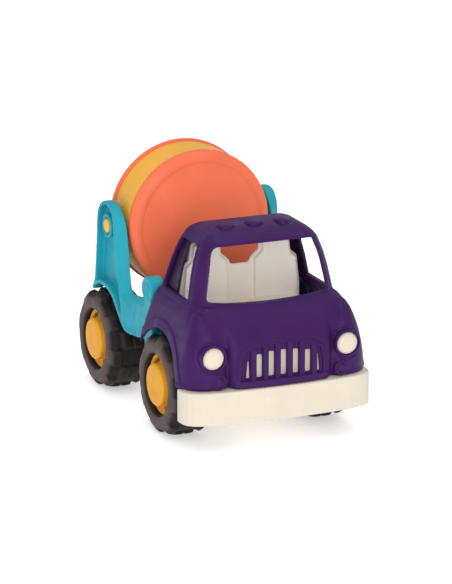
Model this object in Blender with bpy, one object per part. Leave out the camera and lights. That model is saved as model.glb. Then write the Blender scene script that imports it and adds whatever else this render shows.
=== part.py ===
"""Toy cement mixer: a cab on a chassis, a fork behind it, and a drum that spins in a ring and tips in the fork.

Sizes are in millimetres from the front axle (x across, y rearwards) and from a line 45 mm below the axles
(z up). They become metres about the middle of the object, on the ground. The front of the truck faces -Y.
"""

import math

import bmesh
import bpy
from mathutils import Matrix, Vector

MM = 0.001
MID_Y = 64.8  # from the front axle to the middle of the overall length
GROUND_Z = -2.5  # the tyres are 45 mm in radius at the shoulder and 2.5 mm more at the crown
GAP = 0.3  # between pieces that touch
WALL = 3.0  # moulded wall

AXLE_Z = 45.0
FRONT_Y = 0.0
REAR_Y = 160.0
FRONT_TRACK = 90.4  # half-width over the front tyres
REAR_TRACK = 88.4
TYRE_R = 45.0
TYRE_WIDTH = 42.0
TREAD_DEPTH = 2.4
TYRE_BORE_R = 28.3
LUGS = 12
HUB_DISC_R = 19.8
AXLE_R = 2.5

BUMPER_BOTTOM = 27.0
BUMPER_TOP = 57.6
CHASSIS_HALF = 44.0
CHASSIS_BOTTOM = 31.5
CHASSIS_TOP = 57.5

CAB_REAR = 38.0
ARCH_R = 53.0
LAMP_X = 65.4
LAMP_Z = 87.7
SLOT_PITCH = 11.8

DRUM_Y = 138.0
DRUM_Z = 160.0
DRUM_R = 71.2  # at the rear rim
RING_R = 69.2
RING_BORE_R = 66.4
PIN_R = 6.5
FORK_OUTER = 83.0
FORK_INNER = 72.6

# z, half-width, front y, rear y, front corner radius
LOWER_CAB = (
    (58.4, 91.5, -77.0, CAB_REAR, 24.0),
    (73.0, 90.0, -77.5, CAB_REAR, 23.0),
    (85.0, 87.5, -77.5, CAB_REAR, 22.0),
    (97.0, 84.0, -76.5, CAB_REAR, 22.0),
    (108.0, 79.5, -73.0, CAB_REAR, 22.0),
    (116.0, 76.0, -68.0, CAB_REAR, 21.0),
    (122.0, 72.5, -61.0, CAB_REAR, 18.0),
    (127.0, 68.0, -53.0, CAB_REAR, 15.0),
    (129.5, 62.0, -45.0, 36.0, 12.0),
)
UPPER_CAB = (
    (112.0, 71.5, -46.0, CAB_REAR, 14.0),
    (126.0, 70.0, -48.0, 37.5, 14.0),
    (130.0, 69.5, -47.5, 36.0, 14.0),
    (150.0, 65.5, -44.5, 29.0, 13.0),
    (165.0, 61.5, -42.2, 24.0, 12.0),
    (178.0, 56.5, -40.2, 20.5, 12.0),
    (183.0, 53.0, -37.5, 20.0, 12.0),
    (187.0, 48.0, -31.5, 18.5, 11.0),
    (189.6, 41.0, -24.0, 15.0, 9.0),
    (190.5, 34.0, -18.0, 10.0, 7.0),
)
NOSE = (
    (58.4, 46.5, -82.0, -62.0, 7.0),
    (75.0, 46.5, -82.0, -62.0, 7.0),
    (90.0, 44.5, -81.0, -62.0, 8.0),
    (99.0, 42.0, -79.0, -62.0, 9.0),
    (106.0, 39.0, -75.0, -60.0, 9.0),
    (112.0, 35.0, -69.5, -58.0, 6.0),
)


def at(x, y, z):
    """A point of this file's millimetres, in metres about the object's middle."""
    return Vector((x, y - MID_Y, z - GROUND_Z)) * MM


def material(name, colour, roughness, metallic=0.0):
    made = bpy.data.materials.new(name)
    made.use_nodes = True
    shader = made.node_tree.nodes["Principled BSDF"]
    shader.inputs["Base Color"].default_value = (*colour, 1.0)
    shader.inputs["Roughness"].default_value = roughness
    shader.inputs["Metallic"].default_value = metallic
    made.diffuse_color = (*colour, 1.0)
    return made


def new_object(name, bm, sharp=35.0):
    bmesh.ops.recalc_face_normals(bm, faces=bm.faces)
    mesh = bpy.data.meshes.new(name)
    bm.to_mesh(mesh)
    bm.free()
    mesh.shade_smooth()
    mesh.set_sharp_from_angle(angle=math.radians(sharp))
    made = bpy.data.objects.new(name, mesh)
    bpy.context.scene.collection.objects.link(made)
    return made


def loft(name, rings):
    """A closed solid through rings of points, all of one length."""
    bm = bmesh.new()
    rows = [[bm.verts.new(point) for point in ring] for ring in rings]
    for row, after in zip(rows, rows[1:]):
        for i, vert in enumerate(row):
            j = (i + 1) % len(row)
            bm.faces.new((vert, row[j], after[j], after[i]))
    bm.faces.new(rows[0])
    bm.faces.new(rows[-1])
    return new_object(name, bm)


def prism(name, outline, axis, low, high):
    """An outline extruded along one axis. The outline holds the other two coordinates in order."""
    places = {
        "x": lambda u, v, w: at(w, u, v),
        "y": lambda u, v, w: at(u, w, v),
        "z": lambda u, v, w: at(u, v, w),
    }
    place = places[axis]
    return loft(name, [[place(u, v, w) for u, v in outline] for w in (low, high)])


def box(name, x, y, z):
    return prism(name, [(x[0], y[0]), (x[1], y[0]), (x[1], y[1]), (x[0], y[1])], "z", *z)


def turned(name, profile, axis, centre, steps):
    """A profile of (along, radius) turned about an axis through the centre. It is closed at the axis or on itself."""
    along, out = {
        "x": (Vector((1, 0, 0)), Vector((0, 0, 1))),
        "y": (Vector((0, 1, 0)), Vector((0, 0, 1))),
        "z": (Vector((0, 0, 1)), Vector((1, 0, 0))),
    }[axis]
    middle = at(*centre)
    bm = bmesh.new()
    line = [bm.verts.new(middle + (along * a + out * r) * MM) for a, r in profile]
    pairs = list(zip(line, line[1:]))
    if profile[0][1] > 0:
        pairs.append((line[-1], line[0]))
    edges = [bm.edges.new(pair) for pair in pairs]
    bmesh.ops.spin(
        bm, geom=line + edges, cent=middle, axis=along, angle=math.tau, steps=steps, use_merge=True
    )
    bmesh.ops.remove_doubles(bm, verts=bm.verts, dist=1e-6)
    return new_object(name, bm)


def rod(name, axis, centre, radius, low, high, steps=24):
    """A round bar with flat ends. Low and high are measured along the axis from the centre."""
    kept = {"x": (1, 2), "y": (0, 2), "z": (0, 1)}[axis]
    base = centre["xyz".index(axis)]
    outline = arc([centre[i] for i in kept], radius, 0, 360, steps)[:-1]
    return prism(name, outline, axis, base + low, base + high)


def filleted(points, radius, steps=3):
    """The outline with each corner rounded by its own radius, or by one for all."""
    radii = radius if isinstance(radius, (list, tuple)) else [radius] * len(points)
    made = []
    for i, point in enumerate(points):
        here = Vector(point)
        back = Vector(points[i - 1]) - here
        on = Vector(points[(i + 1) % len(points)]) - here
        half = back.angle(on) / 2
        if radii[i] <= 0 or half > math.radians(88):
            made.append(tuple(here))
            continue
        reach = min(radii[i] / math.tan(half), back.length * 0.48, on.length * 0.48)
        start = here + back.normalized() * reach
        end = here + on.normalized() * reach
        for k in range(steps + 1):
            t = k / steps
            made.append(tuple((1 - t) ** 2 * start + 2 * t * (1 - t) * here + t**2 * end))
    return made


def arc(centre, radius, start, end, steps):
    angles = [math.radians(start + (end - start) * k / steps) for k in range(steps + 1)]
    return [(centre[0] + radius * math.cos(a), centre[1] + radius * math.sin(a)) for a in angles]


def plan_ring(z, half, front, rear, corner, rear_corner=3.0):
    """A plan section with round front corners, seen from above."""
    points = arc((-half + corner, front + corner), corner, 180, 270, 4)
    points += arc((half - corner, front + corner), corner, 270, 360, 4)
    points += arc((half - rear_corner, rear - rear_corner), rear_corner, 0, 90, 2)
    points += arc((-half + rear_corner, rear - rear_corner), rear_corner, 90, 180, 2)
    return [at(x, y, z) for x, y in points]


def between(table, z, column):
    """A column of a section table, read at a height between its rows."""
    for low, high in zip(table, table[1:]):
        if z <= high[0]:
            t = max(0.0, (z - low[0]) / (high[0] - low[0]))
            return low[column] + t * (high[column] - low[column])
    return table[-1][column]


def combine(target, other, operation="DIFFERENCE"):
    """Joins or cuts with a helper, which is then hidden."""
    modifier = target.modifiers.new(other.name, "BOOLEAN")
    modifier.operation = operation
    modifier.solver = "EXACT"
    modifier.object = other
    other.parent = target
    other.hide_render = True
    other.display_type = "WIRE"


def bevel(target, width, segments=2, angle=40.0):
    modifier = target.modifiers.new("edges", "BEVEL")
    modifier.width = width * MM
    modifier.segments = segments
    modifier.limit_method = "ANGLE"
    modifier.angle_limit = math.radians(angle)


def hang_on_axis(name, place, pieces):
    """Parents the pieces to an empty that sits on their joint's axis."""
    empty = bpy.data.objects.new(name, None)
    empty.location = at(*place)
    bpy.context.scene.collection.objects.link(empty)
    for piece in pieces:
        piece.parent = empty
        piece.matrix_parent_inverse = Matrix.Translation(-empty.location)
    return empty


def hollow_rows(table, rear):
    """The section table moved in by the wall, with its rear carried past the back."""
    return [
        plan_ring(z - 2.8, half - WALL, front + WALL, rear, corner - WALL)
        for z, half, front, _, corner in table
    ]


def inner_half(z):
    """Half the clear width inside the upper cab."""
    table = UPPER_CAB if z > 118 else LOWER_CAB
    return between(table, z + 2.8, 1) - WALL - GAP - 0.2


def make_cab_shell(finish):
    shell = loft("cab_shell", [plan_ring(*row) for row in LOWER_CAB])
    combine(shell, loft("form_upper", [plan_ring(*row) for row in UPPER_CAB]), "UNION")
    combine(shell, loft("form_nose", [plan_ring(*row) for row in NOSE]), "UNION")
    sill = box("form_sill", (-45.6, 45.6), (-84.0, -78.0), (58.4, 64.0))
    bevel(sill, 1.6)
    combine(shell, sill, "UNION")
    for side in (-1, 1):
        ring = [(-3.0, 9.4), (-3.0, 11.6), (-2.2, 12.9), (12.0, 12.9), (12.0, 9.4)]
        combine(shell, turned(f"form_lamp{side}", ring, "y", (side * LAMP_X, -76.5, LAMP_Z), 24), "UNION")
        dome = [(-2.8, 0), (-2.3, 3.2), (-0.9, 5.2), (4.0, 5.8), (4.0, 0)]
        combine(shell, turned(f"form_blinker{side}", dome, "y", (side * 59.7, -77.2, 65.2), 10), "UNION")
    for x, y in ((-28, -17), (0, -15.5), (28, -17)):
        dome = [(-3.0, 0), (-3.0, 7.4), (0.6, 7.4), (2.2, 6.0), (3.2, 3.4), (3.5, 0)]
        combine(shell, turned(f"form_roof{x}", dome, "z", (x, y, 190.3), 12), "UNION")
    lower = hollow_rows(LOWER_CAB, 70.0)
    floor = plan_ring(40.0, 91.5 - WALL, -74.0, 70.0, 13.0)
    combine(shell, loft("cut_lower", [floor] + lower))
    combine(shell, loft("cut_upper", hollow_rows(UPPER_CAB, 60.0)))
    combine(shell, rod("cut_arch", "x", (0, FRONT_Y, AXLE_Z), ARCH_R, -110, 110, 40))
    screen = filleted([(-59.3, 131.2), (59.3, 131.2), (50.4, 179.0), (-50.4, 179.0)], [5, 5, 8, 8])
    combine(shell, prism("cut_screen", screen, "y", -75, -20))
    window = filleted([(-24.5, 131.5), (32.6, 130.3), (17.0, 177.0), (-15.5, 177.0)], [4, 4, 3, 5])
    combine(shell, prism("cut_windows", window, "x", -95, 95))
    grille = [(-40, 64.6), (40, 64.6), (37.6, 88), (34, 93.5), (18, 97.6), (0, 98.8)]
    grille += [(-18, 97.6), (-34, 93.5), (-37.6, 88)]
    combine(shell, prism("cut_grille", grille, "y", -90, -79.8))
    for i in range(-3, 4):
        x = i * SLOT_PITCH
        half, top = (3.0, 89.4 - 0.1 * x * x / 23.6) if abs(i) < 3 else (1.3, 81.0)
        x *= 0.975 if abs(i) == 3 else 1.0
        slot = filleted([(x - half, 66.4), (x + half, 66.4), (x + half, top), (x - half, top)], 1.2, 2)
        combine(shell, prism(f"cut_slot{i}", slot, "y", -95, -66))
    for side in (-1, 1):
        combine(shell, rod(f"cut_lamp{side}", "y", (side * LAMP_X, -76, LAMP_Z), 10.7, -20, 22, 24))
        post = rod(f"form_post{side}", "z", (side * 34, -62, 0), 4.2, BUMPER_TOP + GAP, 120.5, 14)
        combine(shell, post, "UNION")
        combine(shell, rod(f"cut_pilot{side}", "z", (side * 34, -62, 0), 1.7, 40, 72, 10))
    shell.data.materials.append(finish)


def make_back_wall(finish):
    heights = (99, 108, 115, 121, 126, 134, 150, 165, 176)
    depth = {z: between(UPPER_CAB, z, 3) for z in heights}
    rings = []
    for z in heights:
        half = inner_half(z)
        rear = depth[z] - 1.6
        rings.append([at(-half, rear - 3, z), at(half, rear - 3, z), at(half, rear, z), at(-half, rear, z)])
    wall = loft("cab_back_wall", rings)
    opening = filleted([(-50.6, 127), (50.6, 127), (48.0, 171.5), (-48.0, 171.5)], 5)
    combine(wall, prism("cut_back_window", opening, "y", 0, 60))
    for side in (-1, 1):
        rings = []
        for z in (129, 150, 165, 175):
            half = inner_half(z)
            rear = between(UPPER_CAB, z, 3) - 2.6
            inner, outer = side * (half - 2.2), side * half
            rings.append([at(inner, 7.0, z), at(outer, 7.0, z), at(outer, rear, z), at(inner, rear, z)])
        combine(wall, loft(f"form_jamb{side}", rings), "UNION")
    wall.data.materials.append(finish)


def make_seats(finish):
    seats = box("seat_insert", (-66, 66), (-56, 30.5), (96.5, 99.5))
    half = [(58, 97.5), (58, 112), (53, 147.5), (48, 152.5), (47, 168), (43, 171), (23.5, 171)]
    half += [(19.5, 168), (18.5, 157.5), (11, 151), (9, 146)]
    outline = half + [(-x, z) for x, z in reversed(half)]
    back = prism("form_backs", outline, "y", 14.0, 19.0)
    combine(seats, back, "UNION")
    for side in (-1, 1):
        x = sorted((side * 7.5, side * 57.0))
        cushion = box(f"form_cushion{side}", x, (-14.0, 16.0), (98, 111))
        bevel(cushion, 3.0)
        combine(seats, cushion, "UNION")
    combine(seats, box("form_dash", (-60, 60), (-54, -45), (98, 117)), "UNION")
    seats.data.materials.append(finish)


def make_front_inserts(finish):
    plate = box("grille_insert", (-40.5, 40.5), (-73.2, -70.8), (BUMPER_TOP + GAP, 91.0))
    plate.data.materials.append(finish)
    lamp = [(-2.6, 0), (-2.4, 4.5), (-1.7, 8.0), (-0.8, 10.0), (0.2, 10.35)]
    lamp += [(8.6, 10.35), (8.6, 11.1), (10.2, 11.1), (10.2, 0)]
    for side, word in ((-1, "right"), (1, "left")):
        disc = turned(f"headlamp_{word}", lamp, "y", (side * LAMP_X, -77.0, LAMP_Z), 24)
        disc.data.materials.append(finish)


def bumper_outline(inset):
    """The bowed bumper seen from above, moved in by a wall."""
    half = [(0, -87.0), (32, -86.4), (58, -84.4), (78, -80.2), (87, -76.2), (91.4, -70.5), (92, -65.5)]
    scale = (92.0 - inset) / 92.0
    right = [(x * scale, y + inset) for x, y in half[1:]]
    rear = -56.0 if not inset else -46.0
    return (
        [(-x, y) for x, y in reversed(right)]
        + [(0, half[0][1] + inset)]
        + right
        + [(92.0 - inset, rear), (-92.0 + inset, rear)]
    )


def make_chassis(finish):
    chassis = prism("chassis", bumper_outline(0), "z", BUMPER_BOTTOM, BUMPER_TOP)
    bevel(chassis, 3.2, 2, 50)
    combine(chassis, prism("cut_bumper", bumper_outline(4.0), "z", 10, BUMPER_TOP - 3.6))
    half = CHASSIS_HALF
    tray = box("form_tray", (-half, half), (-84, 200), (CHASSIS_BOTTOM + 0.8, CHASSIS_TOP))
    combine(tray, box("form_floor", (-half, half), (-50, 200), (CHASSIS_BOTTOM, 40)), "UNION")
    clear = half - WALL
    combine(tray, box("cut_tray", (-clear, clear), (-81, 197), (CHASSIS_BOTTOM + WALL + 0.8, 80)))
    combine(chassis, tray, "UNION")
    for side in (-1, 1):
        boss = rod(f"form_boss{side}", "z", (side * 34, -62, 0), 5.6, CHASSIS_BOTTOM, BUMPER_TOP - 1, 14)
        combine(chassis, boss, "UNION")
        combine(chassis, rod(f"cut_bore{side}", "z", (side * 34, -62, 0), 3.6, 20, 50, 14))
        combine(chassis, rod(f"cut_hole{side}", "z", (side * 34, -62, 0), 1.8, 20, 70, 10))
        combine(chassis, rod(f"cut_rear_hole{side}", "z", (side * 30, 130, 0), 1.8, 20, 40, 10))
        combine(chassis, rod(f"cut_rear_bore{side}", "z", (side * 30, 130, 0), 3.6, 20, 34.0, 14))
    for y in (FRONT_Y, REAR_Y):
        combine(chassis, rod(f"cut_axle{y:.0f}", "x", (0, y, AXLE_Z), AXLE_R + GAP, -60, 60, 16))
    chassis.data.materials.append(finish)


def fork_outline():
    """One side of the rear body without its ear, as (y, z). Its front line is the edge beside the drum."""
    lower = [(38.6, 78), (54, 73), (70, 69.4), (84, 68.6), (92, 70), (100, 74), (108, 80.6), (116, 88.4)]
    lower += [(125, 95.2), (135, 98.9), (147, 100.3), (158, 99.2), (167, 95.4), (174, 89.5), (176, 90)]
    rear = [(170.2, 104), (167.4, 123), (165, 142), (163.6, 160), (161.4, 169.5), (155.5, 177.6)]
    tip = [(147, 182), (138, 183), (130.5, 181.8), (123.6, 178), (116.6, 172), (112, 165.9)]
    front = [(109, 157), (107.4, 149), (105.1, 137.6), (103.1, 126.1), (100.8, 113.5), (98.4, 106.6)]
    return lower + rear + tip + front + [(92, 105), (78, 106.6), (60, 109), (38.8, 109)]


def fork_slant(name, side):
    """What is cut from the outside of a fork panel: a slant from the fold on its outer face to its front edge."""
    # z, y of the fold, then x and y of where the slant ends, then x of the panel at its front
    rows = [(55, 88, 79.4, 74, 77), (70.4, 90.4, 79.4, 76, 77), (77, 98.2, 79.6, 82, 77)]
    rows += [(91, 102.6, 79, 86, 77), (101, 105.2, 77.5, 92, 77), (107, 106.8, 74, 96, 74)]
    rows += [(112, 108, 72, 99.4, 70), (125, 111.5, 72, 102.6, 70), (142, 115.9, 72, 105.4, 70)]
    rows += [(153, 118.8, 72, 107.2, 70), (166, 119.2, 72, 111, 70), (172, 120.5, 72, 115.6, 70)]
    rows += [(178, 125, 72, 122.4, 70), (190, 133, 72, 132.4, 70)]
    rings = []
    for z, fold, x, y, front in rows:
        plan = [(FORK_OUTER + 0.1, fold), (x, y), (front, 30), (95, 30), (95, fold)]
        rings.append([at(side * a, b, z) for a, b in plan])
    return loft(name, rings)


def make_rear_body(finish):
    body = box("rear_body", (-FORK_INNER - 3, FORK_INNER + 3), (55, 63), (61.5, 103))
    deck = box("form_deck", (-CHASSIS_HALF, CHASSIS_HALF), (41, 203), (CHASSIS_TOP + GAP, 61.8))
    combine(body, deck, "UNION")
    combine(body, box("form_stop", (-40, 40), (166, 171), (60, 77.5)), "UNION")
    recess = [(103.5, 81.6), (112, 90), (121.5, 98), (134, 102.8), (147, 104.2), (158, 103), (166.5, 99.6)]
    recess += [(167.6, 105), (165.2, 123), (162.8, 142), (161.2, 160), (159, 168), (153.6, 174.6)]
    recess += [(146, 178.6), (138, 179.4), (130.6, 177.4), (125.4, 172.6), (122.6, 165), (121.6, 153)]
    recess += [(118.6, 142), (114.2, 125), (109.8, 108), (105.4, 91.3)]
    for side in (-1, 1):
        inner, outer = side * FORK_INNER, side * FORK_OUTER
        low, high = sorted((inner, outer))
        panel = prism(f"form_panel{side}", fork_outline(), "x", low, high)
        bevel(panel, 0.9, 1, 50)
        combine(panel, fork_slant(f"cut_slant{side}", side))
        low, high = sorted((side * (FORK_INNER + 2.4), side * 100))
        combine(panel, prism(f"cut_recess{side}", recess, "x", low, high))
        low, high = sorted((side * 60, side * 100))
        combine(panel, rod(f"cut_eye{side}", "x", (0, DRUM_Y, DRUM_Z), 9.4, low, high, 24))
        hole = PIN_R + GAP
        eye = [(FORK_INNER, hole), (FORK_INNER, 10.4), (82.6, 11.4), (83.2, 10.8), (83.2, 8.6)]
        eye += [(81.4, 8.4), (81.4, hole)]
        eye = [(side * a, r) for a, r in eye]
        combine(panel, turned(f"form_eye{side}", eye, "x", (0, DRUM_Y, DRUM_Z), 28), "UNION")
        ear = [(63.4, 0), (63.4, 12.6), (64.4, 13.6), (76.9, 13.6), (77.9, 12.6), (77.9, 10.6)]
        ear += [(76.4, 10.2), (76.4, 0)]
        ear = [(side * a, r) for a, r in ear]
        combine(panel, turned(f"form_ear{side}", ear, "x", (0, 52.4, 116.8), 24), "UNION")
        combine(body, panel, "UNION")
        post = rod(f"form_foot{side}", "z", (side * 30, 130, 0), 4.0, CHASSIS_BOTTOM + WALL + 0.8 + GAP, 60, 14)
        combine(body, post, "UNION")
        combine(body, rod(f"cut_foot{side}", "z", (side * 30, 130, 0), 1.7, 30, 48, 10))
    body.data.materials.append(finish)


def make_drum(orange, yellow):
    centre = (0, DRUM_Y, DRUM_Z)
    front = [(-36.0, 0), (-35.2, 24), (-33.0, 44), (-30.8, 57), (-31.0, 61), (-30.4, 65)]
    front += [(-28.4, 68.2), (-25.5, 70.0), (-20.6, 70.0), (-20.6, 65.8), (2.0, 65.8), (2.0, 63.0)]
    front += [(-23.0, 63.0), (-27.6, 57), (-30.0, 44), (-32.2, 24), (-33.0, 0)]
    front_shell = turned("drum_front_shell", front, "y", centre, 36)
    front_shell.data.materials.append(orange)
    rear = [(17.6, 65.8), (17.6, DRUM_R), (22.0, DRUM_R), (25.0, 69.6), (31.0, 65.2), (46.0, 57.0)]
    rear += [(62.0, 47.0), (73.5, 38.5), (76.5, 40.2), (78.6, 38.6), (78.0, 35.0), (73.0, 34.6)]
    rear += [(61.0, 43.6), (45.0, 53.8), (29.0, 62.0), (22.0, 63.0), (2.3, 63.0), (2.3, 65.8)]
    rear_shell = turned("drum_rear_shell", rear, "y", centre, 36)
    rear_shell.data.materials.append(orange)
    edge = RING_R - 0.6
    band = [(-20.3, RING_BORE_R), (-20.3, edge), (-19.6, RING_R), (16.6, RING_R), (17.3, edge), (17.3, RING_BORE_R)]
    ring = turned("drum_ring", band, "y", centre, 36)
    for side in (-1, 1):
        low, high = sorted((side * 60, side * 80))
        combine(ring, rod(f"cut_socket{side}", "x", centre, 8.6, low, high, 24))
        hole = PIN_R + GAP
        socket = [(67.0, hole), (67.0, 9.6), (67.6, 10.2), (72.2, 10.2), (72.2, hole)]
        socket = [(side * a, r) for a, r in socket]
        combine(ring, turned(f"form_socket{side}", socket, "x", centre, 28), "UNION")
    ring.data.materials.append(yellow)
    spinning = hang_on_axis("drum_spin_axis", centre, [front_shell, rear_shell])
    cradle = [ring, spinning]
    for side, word in ((-1, "right"), (1, "left")):
        profile = [(0, 0), (0, PIN_R), (16.2, PIN_R), (16.9, PIN_R - 0.9), (17.1, 0)]
        if side < 0:
            profile = [(-a, r) for a, r in profile]
        pin = turned(f"drum_pin_{word}", profile, "x", (side * 66.8, DRUM_Y, DRUM_Z), 24)
        pin.data.materials.append(yellow)
        cradle.append(pin)
    hang_on_axis("drum_tilt_axis", centre, cradle)


def make_tyre(name, side, track, y, finish):
    """A tyre with blocks round the tread. Its profile runs from the outer face inwards."""
    profile = [(1.6, TYRE_BORE_R), (0.0, 31.0), (0.0, 38.0), (1.4, 41.6)]
    tread = [(4.4, TYRE_R), (12.0, TYRE_R + 1.9), (22.0, TYRE_R - GROUND_Z), (32.0, TYRE_R + 1.9), (38.4, TYRE_R)]
    inner = [(40.8, 41.6), (TYRE_WIDTH, 38.0), (TYRE_WIDTH, 31.0), (40.4, TYRE_BORE_R)]
    steps = LUGS * 3
    bm = bmesh.new()
    rows = []
    for k in range(steps):
        angle = math.tau * k / steps
        row = []
        groove = TREAD_DEPTH if k % 3 == 2 else 0.0
        for a, r in profile + [(a, r - groove) for a, r in tread] + inner:
            x = side * (track - a)
            row.append(bm.verts.new(at(x, y + r * math.cos(angle), AXLE_Z + r * math.sin(angle))))
        rows.append(row)
    for row, after in zip(rows, rows[1:] + rows[:1]):
        for i, vert in enumerate(row):
            j = (i + 1) % len(row)
            bm.faces.new((vert, row[j], after[j], after[i]))
    tyre = new_object(name, bm, 28.0)
    tyre.data.materials.append(finish)
    return tyre


def make_hub(name, side, track, y, finish):
    """A wheel centre: a proud disc on a barrel, a web with four windows, and the rim under the tyre."""
    profile = [(-1.3, 0), (-1.3, 18.0), (0.4, HUB_DISC_R), (7.0, HUB_DISC_R), (7.0, 25.4)]
    profile += [(5.6, 28.0), (36.5, 28.0), (36.5, 25.6), (10.0, 25.6), (10.0, 17.2)]
    profile += [(2.4, 17.2), (2.4, 6.0), (32.0, 6.0), (32.0, AXLE_R + GAP), (4.0, AXLE_R + GAP), (4.0, 0)]
    placed = [(-side * a, r) for a, r in profile]
    hub = turned(name, placed, "x", (side * track, y, AXLE_Z), 24)
    for quarter in range(4):
        middle = 45 + 90 * quarter
        outline = arc((y, AXLE_Z), 24.9, middle - 31, middle + 31, 3)
        outline += arc((y, AXLE_Z), 20.6, middle + 31, middle - 31, 3)
        low, high = sorted((side * (track - 5.0), side * (track - 14.0)))
        combine(hub, prism(f"cut_{name}{quarter}", outline, "x", low, high))
    hub.data.materials.append(finish)
    return hub


def make_wheels(black, yellow, steel):
    for word, y, track in (("front", FRONT_Y, FRONT_TRACK), ("rear", REAR_Y, REAR_TRACK)):
        reach = track - 4.4
        axle = rod(f"axle_{word}", "x", (0, y, AXLE_Z), AXLE_R, -reach, reach, 16)
        axle.data.materials.append(steel)
        rolling = [axle]
        for side, hand in ((-1, "right"), (1, "left")):
            rolling.append(make_tyre(f"tyre_{word}_{hand}", side, track, y, black))
            rolling.append(make_hub(f"hub_{word}_{hand}", side, track, y, yellow))
        hang_on_axis(f"{word}_axle_axis", (0, y, AXLE_Z), rolling)


def make_screws(steel):
    for word, y, head, length in (("front", -62, 47.7, 18.0), ("rear", 130, 31.8, 14.0)):
        for side, hand in ((-1, "right"), (1, "left")):
            profile = [(0, 0), (0, 2.4), (0.6, 3.1), (2.0, 3.1), (2.0, 1.35), (length, 1.35), (length + 1.4, 0)]
            x = side * (34 if word == "front" else 30)
            screw = turned(f"screw_{word}_{hand}", profile, "z", (x, y, head), 12)
            screw.data.materials.append(steel)


def main():
    for old in list(bpy.data.objects):
        bpy.data.objects.remove(old, do_unlink=True)
    purple = material("purple_plastic", (0.065, 0.022, 0.13), 0.42)
    dark_purple = material("dark_purple_plastic", (0.02, 0.006, 0.035), 0.5)
    cream = material("cream_plastic", (0.80, 0.71, 0.58), 0.45)
    teal = material("teal_plastic", (0.035, 0.36, 0.44), 0.42)
    orange = material("orange_plastic", (0.80, 0.13, 0.06), 0.42)
    yellow = material("yellow_plastic", (0.80, 0.39, 0.04), 0.42)
    black = material("black_rubber", (0.022, 0.016, 0.015), 0.7)
    steel = material("steel", (0.55, 0.55, 0.56), 0.3, 1.0)
    make_cab_shell(purple)
    make_back_wall(dark_purple)
    make_seats(cream)
    make_front_inserts(cream)
    make_chassis(cream)
    make_rear_body(teal)
    make_drum(orange, yellow)
    make_wheels(black, yellow, steel)
    make_screws(steel)


main()
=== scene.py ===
"""Looks of the toy cement mixer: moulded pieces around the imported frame, finishes, light, floor and camera.

Sizes are in millimetres from the front axle (x across, y rearwards) and from a line 45 mm below the axles
(z up). The front of the truck faces -Y.
"""

import math

import bmesh
import bpy
import numpy as np
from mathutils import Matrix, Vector


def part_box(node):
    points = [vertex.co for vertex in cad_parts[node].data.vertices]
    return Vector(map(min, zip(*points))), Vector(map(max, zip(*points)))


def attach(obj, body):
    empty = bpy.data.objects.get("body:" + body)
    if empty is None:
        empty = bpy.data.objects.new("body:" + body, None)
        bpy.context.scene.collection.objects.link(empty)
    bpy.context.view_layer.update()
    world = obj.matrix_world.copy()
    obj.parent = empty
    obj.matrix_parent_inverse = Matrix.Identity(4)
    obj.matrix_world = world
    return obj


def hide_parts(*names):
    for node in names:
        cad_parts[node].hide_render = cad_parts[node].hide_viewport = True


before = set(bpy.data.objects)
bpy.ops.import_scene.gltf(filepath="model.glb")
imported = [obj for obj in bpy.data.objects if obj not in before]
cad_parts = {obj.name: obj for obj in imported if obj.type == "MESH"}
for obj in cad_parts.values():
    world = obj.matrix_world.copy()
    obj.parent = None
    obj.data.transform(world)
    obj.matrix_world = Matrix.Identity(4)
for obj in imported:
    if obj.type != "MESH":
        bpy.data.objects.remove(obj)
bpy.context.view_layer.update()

MM = 0.001
AXLE_Z = 45.0
REAR_Y = 160.0
DRUM = (0.0, 138.0, 160.0)
FRONT_TRACK = 90.4
REAR_TRACK = 88.4
FORK_INNER = 72.6
FORK_OUTER = 83.0
ARCH_R = 52.4
ARCH_Y = -1.6
LAMP_X = 65.4
LAMP_Z = 87.7
SLOT_PITCH = 11.8
LOW_Z = 58.4
BUMPER_BOTTOM = 27.0
BUMPER_TOP = 57.6
TRAY_HALF = 44
SIDES = ((-1, "right"), (1, "left"))
FRONT_SCREW = (34, -62)  # x and y of the screws that hold the cab
REAR_SCREW = (30, 130)  # x and y of the screws that hold the fork
BLINKER = (59.7, -78.0, 65.6)
MARKERS = ((-28, -17), (0, -15.5), (28, -17))  # x and y of the domes on the roof
EAR = (0, 52.0, 119.6)
WINDSCREEN = (
    [(-59.3, 131.0), (-40, 128.4), (-20, 127.2), (0, 126.8), (20, 127.2), (40, 128.4), (59.3, 131.0)]
    + [(50.4, 179.0), (-50.4, 179.0)],
    [5, 0, 0, 0, 0, 0, 5, 8, 8],
)
SIDE_WINDOW = ([(-29.0, 128.6), (30.0, 128.6), (14.5, 177.2), (-20.5, 178.0)], [3, 4, 4, 5])
GRILLE_ARCH = [(-40.3, 64.6), (40.3, 64.6), (39.5, 80), (37.6, 88.8), (30, 93.0), (21, 94.9), (7, 96.2)]
GRILLE_ARCH += [(0, 96.4), (-7, 96.2), (-21, 94.9), (-30, 93.0), (-37.6, 88.8), (-39.5, 80)]
GRILLE_SHIFT = 1.6  # how far the bars and slots stand to the left of the truck's middle
GRILLE_BOW = 0.0042  # how the tops of bars and slots fall away from the middle, times x squared
FORK_LOWER = [(38.6, 78), (54, 73), (70, 69.4), (84, 68.6), (92, 70), (100, 74), (108, 80.6), (116, 88.4)]
FORK_LOWER += [(125, 95.2), (135, 98.9), (147, 100.3), (158, 99.2), (167, 95.4), (174, 89.5)]

axle_low, axle_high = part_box("axle_front")
AXLE = (axle_low + axle_high) / 2
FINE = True


# ---------------------------------------------------------------- shapes


def at(x, y, z):
    """A point of this file's millimetres, in the frame."""
    return AXLE + Vector((x, y, z - AXLE_Z)) * MM


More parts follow.
